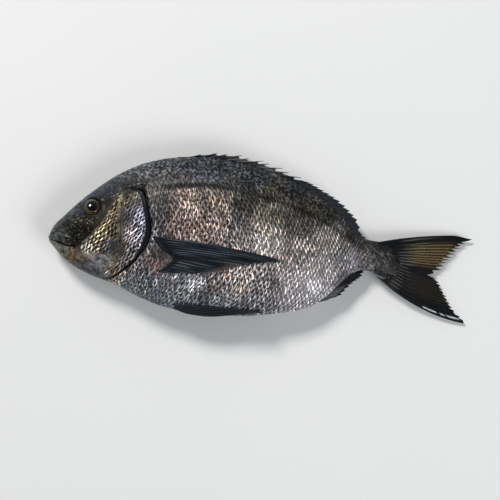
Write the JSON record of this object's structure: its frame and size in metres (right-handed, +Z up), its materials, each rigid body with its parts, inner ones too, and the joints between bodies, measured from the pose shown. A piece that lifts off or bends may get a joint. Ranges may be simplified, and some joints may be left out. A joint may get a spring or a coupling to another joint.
{
  "type": "whole raw fish",
  "caption": "Whole raw black sea bream lying on its right flank, scales and fins on, as laid out for sale.",
  "frame": {"origin": "middle of the footprint, on the surface that the fish lies on", "axes": "+X from the snout to the tail, +Y towards the back, +Z up through the left flank"},
  "size_m": [0.3668, 0.1426, 0.0523],
  "materials": {
    "skin": "wet scaled skin, silver and bronze on the flanks, near black on the back",
    "gill_cover": "wet smooth skin over bone, silver with bronze flecks",
    "fin": "wet dark membrane between fine rays",
    "eye": "wet clear cornea over a thin silver iris and a black pupil"
  },
  "bodies": {
    "root": {"body": "skin", "gill_cover_left": "gill_cover", "gill_cover_right": "gill_cover", "eye_left": "eye", "eye_right": "eye", "dorsal_fin": "fin", "anal_fin": "fin", "tail_fin": "fin", "pectoral_fin_left": "fin", "pectoral_fin_right": "fin", "pelvic_fin_left": "fin", "pelvic_fin_right": "fin"}
  },
  "joints": []
}
